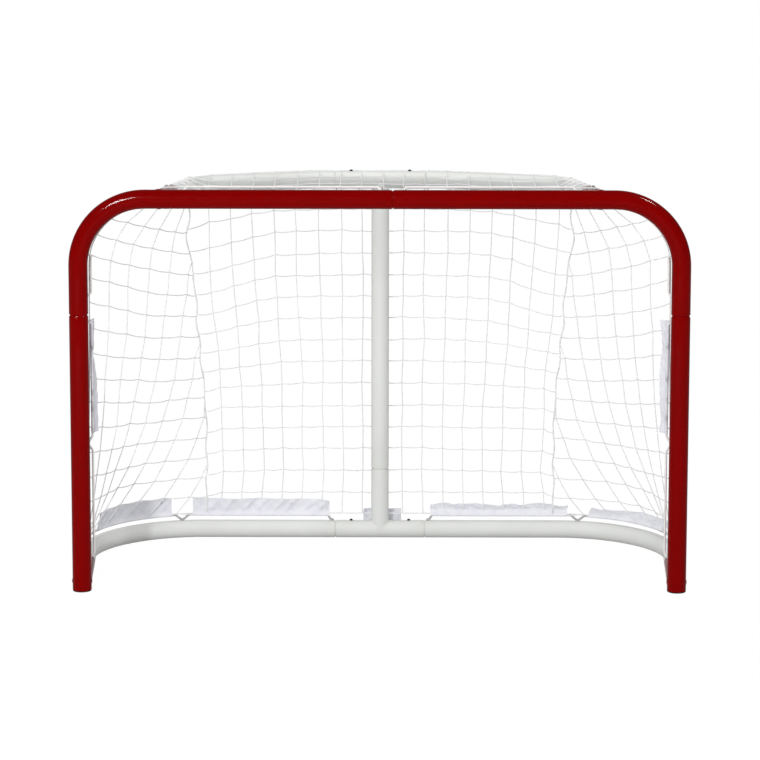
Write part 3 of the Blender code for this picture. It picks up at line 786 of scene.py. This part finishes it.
# %% Flaps
CLOTH = 0.00072
LEAF_GAP = 0.0009
LEAF = 0.061
POST_LEAF = 0.035
POST_FLAP = (0.503, 0.864)
TEE_FLAP = (TEE_ARM - 0.058, TEE_ARM + 0.074)
BENT_FROM, BENT_TO = 0.009, 0.025
TIPS = {"left_rear": (-4, 2), "right_rear": (14, 78), "left_curve": (-4, 4),
        "right_curve": (50, 80), "left_post": (-12, -12), "right_post": (32, 34), "tee": (0, 0)}


def fold_of(reach):
    """The fold from leaf tip to leaf tip, as (across, away from the rod, length of cloth)."""
    neck = ROD + 0.0075
    radius = ROD + LEAF_GAP
    leaf = [(-LEAF_GAP, reach - (reach - neck) * step / 10) for step in range(11)]
    turn = [(radius * math.sin(angle), -radius * math.cos(angle))
            for angle in (math.radians(-125 + 25 * step) for step in range(11))]
    outline = leaf + turn + [(-across, away) for across, away in leaf[::-1]]
    lengths = [0.0]
    for (x, y), (nx, ny) in zip(outline, outline[1:]):
        lengths.append(lengths[-1] + math.hypot(nx - x, ny - y))
    return [(x, y, length) for (x, y), length in zip(outline, lengths)]


def creases(along, away, seed):
    """Sharp folds that cross the cloth on both slants, from -1 to 1."""
    rising = noise.noise(Vector(((along + 0.7 * away) * 24, away * 8, seed)))
    falling = noise.noise(Vector(((along - 0.8 * away) * 19, away * 6, seed + 5)))
    return 1 - min(1, 3 * abs(rising)) - min(1, 3 * abs(falling))


def leaf_spot(away, low_tip, high_tip):
    """The middle of the flap a length of cloth away from the rod, and its tip there.

    The flap leaves the rod at low_tip and has bent over to high_tip 25 mm further on."""
    spot = Vector((0, 0))
    for index in range(12):
        reached = away * (index + 0.5) / 12
        tip = low_tip + (high_tip - low_tip) * ease(reached, BENT_FROM, BENT_TO)
        spot += Vector((math.sin(tip), math.cos(tip))) * away / 12
    return spot, low_tip + (high_tip - low_tip) * ease(away, BENT_FROM, BENT_TO)


def add_flap(place, rod, line, start, end, outward, leaves, reach, ripple, seed, droop=0.0):
    """TIPS holds how many degrees each flap leans near its rod and further out."""
    tips = TIPS[place]
    fold = fold_of(reach)
    span = end - start
    columns = max(24, round(span / 0.004))
    shape = bmesh.new()
    cloth = shape.loops.layers.uv.new("cloth")
    bmesh.ops.create_grid(shape, x_segments=len(fold) - 1, y_segments=columns, size=0.5)
    for vert in shape.verts:
        across, away, length = fold[round((vert.co.x + 0.5) * (len(fold) - 1))]
        share = vert.co.y + 0.5
        along = share * span
        for loop in vert.link_loops:
            loop[cloth].uv = (length, along)
        point, heading = walk(line, start + along)
        side = heading.cross(leaves).normalized()
        free = max(0.0, (away - ROD) / (reach - ROD))
        wave = noise.noise(Vector((along * 9, seed * 7.3, 0))) * 2
        nod = noise.noise(Vector((along * 14, seed * 5.7, 4.0)))
        across += ripple * wave * free ** 1.4
        across += ripple * creases(along, away, seed) * min(1, 2.5 * free)
        away -= ripple * abs(nod) * free
        spot, tip = leaf_spot(away, math.radians(tips[0] + 5 * wave),
                              math.radians(tips[1] + 7 * wave + 5 * nod))
        vert.co = (point + outward * ROD_HEIGHT - leaves * droop * share * free
                   + side * (spot.x + across * math.cos(tip))
                   + leaves * (spot.y - across * math.sin(tip)))
    bmesh.ops.solidify(shape, geom=shape.faces, thickness=CLOTH)
    piece = add_piece(f"{place}_canvas", shape, canvas_cloth, [f"{place}_flap"],
                      sharp=60)


for hand, side in SIDES:
    base_side = sided(base_line, side)
    add_flap(f"{hand}_rear", f"{hand}_base", base_side, rear_start, rear_end, UP, UP,
             LEAF, 0.004, 2.0 + side, droop=0.006 if side < 0 else 0.0)
    add_flap(f"{hand}_curve", f"{hand}_base", base_side, curve_start, curve_end, UP,
             UP, LEAF, 0.003, 6.0 + side)
    add_flap(f"{hand}_post", f"{hand}_post", sided([post_foot, post_seam], side),
             *POST_FLAP, inward(side), BACK, POST_LEAF, 0.002, 9.0 + side)
add_flap("tee", "tee", low_tee_line, *TEE_FLAP, BACK, UP, LEAF, 0.003, 13.0)
print("flaps made")

# %% [markdown]
# ## The net
#
# The real net is one bag of knotted white cord with a mesh of about 76 mm. It
# runs from the crossbar over the shelf, down the back, and round the sides to
# the posts. Where side and back meet, a seam of doubled cord hangs from the
# corner of the shelf. A simulation would only find again what the photograph
# shows, so the net is drawn as it hangs: every cord is a line on a surface, and
# each knot is moved a little by slow noise. That noise takes its offset from the
# clock unless it is seeded, so a seed makes each run draw the same net.

# %% Cord and knots
NET_SEED = 1795688239
noise.seed_set(NET_SEED)
MESH = 0.0759
CORD = 0.0017
NET_FOOT = 0.084
JITTER = 0.8


def strayed(point, amount, seed):
    """The point moved a little, by noise as wide as a few meshes and a bit of jitter."""
    slow = noise.noise_vector(point * 6.0 + Vector((seed, 0, 0)))
    quick = noise.noise_vector(point * 31.0 + Vector((0, seed, 0)))
    return point + slow * amount + quick * amount * JITTER


def hung(knots, sag):
    """A cord through its knots, which hangs a little between one and the next."""
    line = [knots[0]]
    for a, b in zip(knots, knots[1:]):
        level = math.hypot(b.x - a.x, b.y - a.y) / max((b - a).length, 1e-6)
        for index in range(1, 7):
            share = index / 6
            line.append(a.lerp(b, share) - UP * sag * level * 4 * share * (1 - share))
    return line


def net_piece(name, cords, knots, nodes):
    """Cords as (line, radius), turned to a mesh of round bars, with a lump at each knot."""
    curve = bpy.data.curves.new(name, "CURVE")
    curve.dimensions = "3D"
    curve.bevel_depth = CORD
    curve.bevel_resolution = 1
    curve.use_fill_caps = True
    for line, radius in cords:
        spline = curve.splines.new("POLY")
        spline.points.add(len(line) - 1)
        for knot, point in zip(spline.points, line):
            knot.co = (*point, 1.0)
            knot.radius = radius / CORD
    holder = placed(name, curve)
    bpy.context.view_layer.update()
    evaluated = holder.evaluated_get(bpy.context.evaluated_depsgraph_get())
    mesh = bpy.data.meshes.new_from_object(evaluated)
    bpy.data.objects.remove(holder)
    shape = bmesh.new()
    shape.from_mesh(mesh)
    bpy.data.meshes.remove(mesh)
    for index, point in enumerate(knots):
        turn = Matrix.Rotation(index * 2.4, 4, "Y") @ Matrix.Rotation(index * 1.1, 4, "X")
        lump = Matrix.Translation(point) @ turn @ Matrix.Diagonal((1.25, 0.8, 1.0, 1))
        bmesh.ops.create_icosphere(shape, subdivisions=1, radius=CORD * 1.9, matrix=lump)
    bmesh.ops.remove_doubles(shape, verts=shape.verts, dist=1e-7)
    piece = add_piece(name, shape, net_cord, nodes, sharp=180)
    print(name, len(cords), "cords", len(knots), "knots", len(piece.data.polygons), "faces")


# %% [markdown]
# ### The back and the top
#
# A column of the back starts on the rod of the base, climbs to the shelf, lies
# on the tube's back and top, and runs forward to the crossbar's rod. There it
# sags about 50 mm. The columns stand a mesh apart at the shelf and draw
# together on their way down, and the rows dip where they near the seams,
# because the shelf's corners lie further forward.

# %% The surface of the back and the top
MIDDLE_COLUMN = 0.0088
TOP_MESH = 0.0717
LOW_MESH = 0.0686
BEHIND = 0.006
WRAP = TUBE + CORD * 1.3
BELLY = 0.030
SAG = 0.052
SEAM_DIP = 0.072
SEAM_DROP = 0.045
BAR_ROD_OUT = 0.0353
shelf_rear = [p for p in shelf_line if p.y > REAR - 0.232]
shelf_rear += sided(shelf_rear[-2::-1], -1)
climb = BAR_Z - NET_FOOT
bar_rod = Vector((0, FRONT + BAR_ROD_OUT, BAR_Z + BAR_ROD_OUT + ROD))


def shelf_at(x):
    """The shelf tube's centre behind a given x, and the way out of it to the back."""
    for a, b in zip(shelf_rear, shelf_rear[1:]):
        if b.x <= x <= a.x:
            out = (b - a).normalized().cross(UP)
            out = out if out.y > 0 else -out
            return a.lerp(b, (a.x - x) / max(a.x - b.x, 1e-9)), out


def back_point(column, rise):
    """Where a column is after a length of cord from the base: up the back, over, forward."""
    share = min(1.0, rise / climb)
    narrow = ease(1 - share, 0.10, 0.75) - 0.6 * ease(1 - share, 0.86, 1.0)
    x = MIDDLE_COLUMN + column * (TOP_MESH + (LOW_MESH - TOP_MESH) * narrow)
    tube, out = shelf_at(x)
    dip = SEAM_DIP * ease(abs(x), 0.34, 0.62) * ease(rise, 0.35, 0.95)
    crest = Vector((x, tube.y, BAR_Z))
    if rise < climb:
        foot = Vector((x, REAR + BEHIND, NET_FOOT))
        point = foot.lerp(crest + out * WRAP, share)
        belly = BELLY * math.sin(math.pi * share) * (1 - 0.5 * abs(x))
        return point + BACK * belly - UP * dip * math.sin(math.pi * min(1, share * 1.02)) ** 0.5
    turned = (rise - climb) / WRAP
    if turned < math.pi / 2:
        return crest + out * WRAP * math.cos(turned) + UP * WRAP * math.sin(turned)
    forward = rise - climb - WRAP * math.pi / 2
    span = tube.y - bar_rod.y
    share = min(1.0, forward / span)
    top = Vector((x, tube.y, BAR_Z + WRAP))
    front = Vector((x, bar_rod.y, bar_rod.z))
    width = 1 - ease(abs(x), 0.40, 0.70)
    return top.lerp(front, share) - UP * SAG * (0.35 + 0.65 * width) * 4 * share * (1 - share)


def full_rise(column):
    tube = shelf_at(MIDDLE_COLUMN + column * TOP_MESH)[0]
    return climb + WRAP * math.pi / 2 + tube.y - bar_rod.y


print("a middle column is", round(full_rise(0), 3), "m long")

# %% [markdown]
# ### The sides
#
# Each side is stretched between four edges: the post with its bend at the
# front, the seam at the back, the curve of the base below and the shelf above.
# Its rows run straight from post to seam, dropping slightly, and only the
# lowest follow the curve of the base. Counted from the post, its columns stand
# further apart towards the top, so the hindmost ones run out on the seam.

# %% The surface of a side
side_low = 0.12
side_high = length_of(mouth_line) - 0.69
foot_from = 0.05
foot_span = base_length - 0.60 - foot_from
foot_steps = round(foot_span / 0.01)
side_foot = [walk(base_line, foot_from + foot_span * index / foot_steps)[0]
             + UP * (NET_FOOT - BASE_Z) for index in range(foot_steps + 1)]
side_foot_length = length_of(side_foot)
seam_foot = side_foot[-1]
seam_head = Vector((0.637, 0.140, BAR_Z + 0.026))


def front_point(v):
    """Where the side hangs from the rods of the post, the bend and the crossbar."""
    point, heading = walk(mouth_line, side_low + (side_high - side_low) * v)
    inwards = 0.030 - 0.055 * ease(v, 0.93, 1.0)
    return point + heading.cross(BACK) * inwards + BACK * 0.042


def seam_point(v):
    """The seam between a side and the back: pulled forward near the shelf, back lower down."""
    point = seam_foot.lerp(seam_head, v)
    chord = (point - front_point(v)).normalized()
    pull = (0.026 * math.sin(math.pi * ease(v, 0.0, 0.62))
            - 0.034 * math.sin(math.pi * ease(v, 0.66, 1.0)))
    swing = 0.006 + 0.008 * ease(v, 0.70, 0.90)
    zigzag = swing * math.sin(v * 16.5 * math.pi) * ease(v, 0.03, 0.15)
    return point + chord * (pull + zigzag)


def side_point(u, v):
    """u from the post to the seam, v from the base to the shelf."""
    v = min(1.0, max(0.0, v))
    flat = front_point(v).lerp(seam_point(v), u)
    low_chord = front_point(0).lerp(seam_foot, u)
    bulge = (walk(side_foot, side_foot_length * u)[0] - low_chord) * (1 - v) ** 4
    slack = math.sin(math.pi * u) * 0.012 * math.sin(math.pi * v)
    return flat + bulge - UP * slack


def row_height(row, u):
    return 0.0125 + 0.0606 * row - 0.022 * u + 0.014 * ease(row, 14, 15)


def column_share(column, v):
    return column * (0.110 + 0.10 * v + 0.05 * v ** 6)


# %% Side nets
ROWS = 17
COLUMNS = 8
SIDE_STRAY = 0.0056
NEAR_SEAM = 0.985
for hand, side in SIDES:
    cords = []
    knots = []
    seed = 3.0 + side * 1.7

    def side_knot(u, v, seed=seed):
        free = min(1.0, 6 * u, 6 * v, 8 * (1.02 - u))
        return strayed(side_point(u, v), SIDE_STRAY * free, seed)

    for column in range(1, COLUMNS + 1):
        line = []
        for row in range(ROWS):
            v = row_height(row, 0.5)
            u = column_share(column, v)
            v = row_height(row, u)
            if u > NEAR_SEAM:
                break
            line.append(side_knot(u, v))
        v_end = row_height(len(line) - 0.35, 1.0) if len(line) < ROWS else 1.0
        u_end = 1.0 if len(line) < ROWS else column_share(column, 1.0)
        line.append(side_point(u_end, v_end))
        line.insert(0, side_point(column_share(column, 0.0), 0.0))
        cords.append((hung(line, 0.001), CORD))
        knots += line[1:-1]
    for row in range(ROWS):
        line = [side_point(0, row_height(row, 0))]
        for column in range(1, COLUMNS + 1):
            u = column_share(column, row_height(row, 0.5))
            if u > NEAR_SEAM:
                break
            line.append(side_knot(u, row_height(row, u)))
        line.append(side_point(1, row_height(row, 1)))
        cords.append((hung(line, 0.0035), CORD))
    seam_line = [side_point(1, index / 66) for index in range(67)]
    twin = [p + Vector((0.0022 * math.cos(i), 0.0022 * math.sin(i), 0))
            for i, p in enumerate(seam_line)]
    shares = [index / 60 for index in range(61)]
    cords += [(seam_line, CORD * 1.15), (twin, CORD),
              ([side_point(0, v) for v in shares], CORD * 1.1),
              ([side_point(u, 0) for u in shares], CORD * 1.1),
              ([side_point(u, 1) for u in shares[::2]], CORD * 1.2)]
    net_piece(f"{hand}_side_net", [(sided(line, side), radius) for line, radius in cords],
              sided(knots, side), [f"net_{hand}_front", f"net_{hand}_middle",
                                   f"net_{hand}_rear"])

# %% Back and top nets
BACK_ROWS = 16
TOP_ROWS = 25
BACK_STRAY = 0.0050
back_cords = []
back_knots = []
top_cords = []


def shelf_side(y, side):
    """A point on top of the shelf's side tube."""
    share = (y - shelf_start.y) / (shelf_corner.y - shelf_start.y)
    return sided([shelf_start.lerp(shelf_corner, share) + UP * WRAP], side)[0]


def back_knot(column, row):
    rise = row * MESH
    point = back_point(column, rise)
    free = min(1.0, rise / 0.15, abs(rise - climb - 0.03) / 0.12)
    return strayed(point, BACK_STRAY * free, 9.0)


for column in range(-COLUMNS, COLUMNS + 1):
    last = int(full_rise(column) / MESH)
    line = [back_point(column, 0)] + [back_knot(column, row) for row in range(1, BACK_ROWS)]
    back_knots += line[1:]
    over_shelf = [back_point(column, climb + WRAP * turn) for turn in (0.1, 0.5, 0.9, 1.3)]
    back_cords.append((hung(line, 0.001) + over_shelf[:2], CORD))
    line = [back_knot(column, row) for row in range(BACK_ROWS + 1, last + 1)]
    line.append(back_point(column, full_rise(column)))
    top_cords.append((over_shelf[1:] + hung([over_shelf[-1]] + line, 0.0015)[1:], CORD))
for row in range(1, BACK_ROWS):
    low = 0.012 + SEAM_DROP * ease(row * MESH, 0.35, 0.95)
    v = (row * MESH - low) / (climb + 0.02)
    ends = [sided([side_point(1, min(0.99, v))], side)[0] for side in (-1, 1)]
    knots = [back_knot(column, row) for column in range(-COLUMNS, COLUMNS + 1)]
    back_cords.append((hung([ends[0]] + knots + [ends[1]], 0.0035), CORD))
for row in range(BACK_ROWS, TOP_ROWS):
    line = [back_knot(half / 2, row) for half in range(-2 * COLUMNS, 2 * COLUMNS + 1)
            if row * MESH < full_rise(half / 2)]
    if line and line[-1].y < shelf_corner.y:
        line = [shelf_side(line[0].y, -1)] + line + [shelf_side(line[-1].y, 1)]
    if len(line) > 4:
        top_cords.append((line, CORD))
base_cord = [back_point(part / 4, 0) for part in range(-4 * COLUMNS, 4 * COLUMNS + 1)]
back_cords.append((base_cord, CORD * 1.1))
net_piece("back_net", back_cords, back_knots,
          ["net_back_left", "net_back_centre", "net_back_right"])
net_piece("top_net", top_cords, [], ["net_top"])

# %% [markdown]
# ## Floor and light
#
# The floor is a plain white sheet that keeps the goal's soft shadow. Seen
# directly the surroundings are plain white, and a reflection sees them white
# behind the goal and dim in front, as in a dark room with a white backdrop. An
# even glow and a broad lamp in front light everything. A small key lamp gives
# the crossbar's sharp shadow on the shelf. By light linking, the overhead lamp
# and the two wings reach every piece but the red ones, and the two strips reach
# only the red ones, where they show as the streaks on the bends.

# %% Floor
FLOOR_GLOW = 1.12
SEEN_GLOW = 0.86
MIRRORED_GLOW = 0.20
floor_shape = bmesh.new()
bmesh.ops.create_grid(floor_shape, x_segments=1, y_segments=1, size=40)
floor_mesh = bpy.data.meshes.new("floor")
floor_shape.to_mesh(floor_mesh)
floor_shape.free()
floor = placed("floor", floor_mesh)
ground = Finish("floor", 0.9, specular=0.0)
ground.feed(Base_Color=(0.58, 0.58, 0.58, 1))
seen_plainly = ground.ray("Camera") + ground.ray("Transmission")
glow = ground.node("Emission", None, {"Color": (1, 1, 1, 1), "Strength": FLOOR_GLOW})
shaded = Signal(ground, ground.shader.outputs[0])
mixed = ground.node("MixShader", None,
                    {0: seen_plainly * SEEN_GLOW + ground.ray("Glossy") * MIRRORED_GLOW,
                     1: shaded, 2: glow})
ground.tree.links.new(mixed.socket, ground.tree.nodes["Material Output"].inputs["Surface"])
floor_mesh.materials.append(ground.material)

# %% World
AMBIENT = 0.52
DIM_ROOM = 0.16
world = bpy.data.worlds.new("studio")
bpy.context.scene.world = world
world.use_nodes = True
sky = Recipe(world.node_tree)
direction = sky.node("TexCoord", output="Generated")
towards_back = sky.node("SeparateXYZ", None, {0: direction}, output="Y")
room = DIM_ROOM + sky.between(towards_back, 0.80, 0.97) * (1 - DIM_ROOM)
plainly = sky.ray("Camera") + sky.ray("Transmission")
mirrored = sky.ray("Glossy")
level = plainly + mirrored * room + (1 - plainly - mirrored) * AMBIENT
background = world.node_tree.nodes["Background"]
sky.plug(background.inputs["Color"], (1, 1, 1, 1))
sky.plug(background.inputs["Strength"], level)
print("the world lights at", AMBIENT, "and is seen white")

# %% Lamps
red_pieces = bpy.data.collections.new("red pieces")
other_pieces = bpy.data.collections.new("other pieces")
for piece in bpy.data.objects:
    if piece.type == "MESH" and piece != floor:
        red = red_coat.name in piece.data.materials
        (red_pieces if red else other_pieces).objects.link(piece)

# Name, place, target, width, height, watts, tilt in degrees, and the pieces it reaches
LAMPS = (("key", (-2.0, -6.4, 1.51), (0, 0, 1.0), 0.25, 0.06, 120, 0, None),
         ("fill", (-1.0, -6.6, 3.2), (0, 0, 0.6), 3.0, 2.0, 112, 0, None),
         ("overhead", (0.3, -0.6, 4.2), (0, 0, 0), 3.5, 2.5, 38, 0, other_pieces),
         ("left wing", (-4.5, -2.5, 1.2), (0, 0, 0.6), 2.0, 2.5, 38, 0, other_pieces),
         ("right wing", (4.5, -2.5, 1.2), (0, 0, 0.6), 2.0, 2.5, 28, 0, other_pieces),
         ("left strip", (-2.24, -3.75, 3.36), (-0.85, FRONT, 1.42), 1.45, 0.8, 600, -21,
          red_pieces),
         ("right strip", (2.76, -0.43, 4.16), (0.85, FRONT, 1.42), 0.73, 0.6, 150, -52,
          red_pieces))
for name, place, target, width, height, watts, tilt, reached in LAMPS:
    lamp = bpy.data.lights.new(name, "AREA")
    lamp.shape = "RECTANGLE"
    lamp.size = width
    lamp.size_y = height
    lamp.energy = watts
    holder = placed(name, lamp)
    look = Vector(target) - Vector(place)
    holder.matrix_world = (Matrix.Translation(place)
                           @ look.to_track_quat("-Z", "Y").to_matrix().to_4x4()
                           @ Matrix.Rotation(math.radians(tilt), 4, "Z"))
    holder.visible_diffuse = reached is not red_pieces
    holder.visible_glossy = reached is red_pieces
    if reached is not None:
        holder.light_linking.receiver_collection = reached
bpy.context.scene.view_settings.view_transform = "Standard"
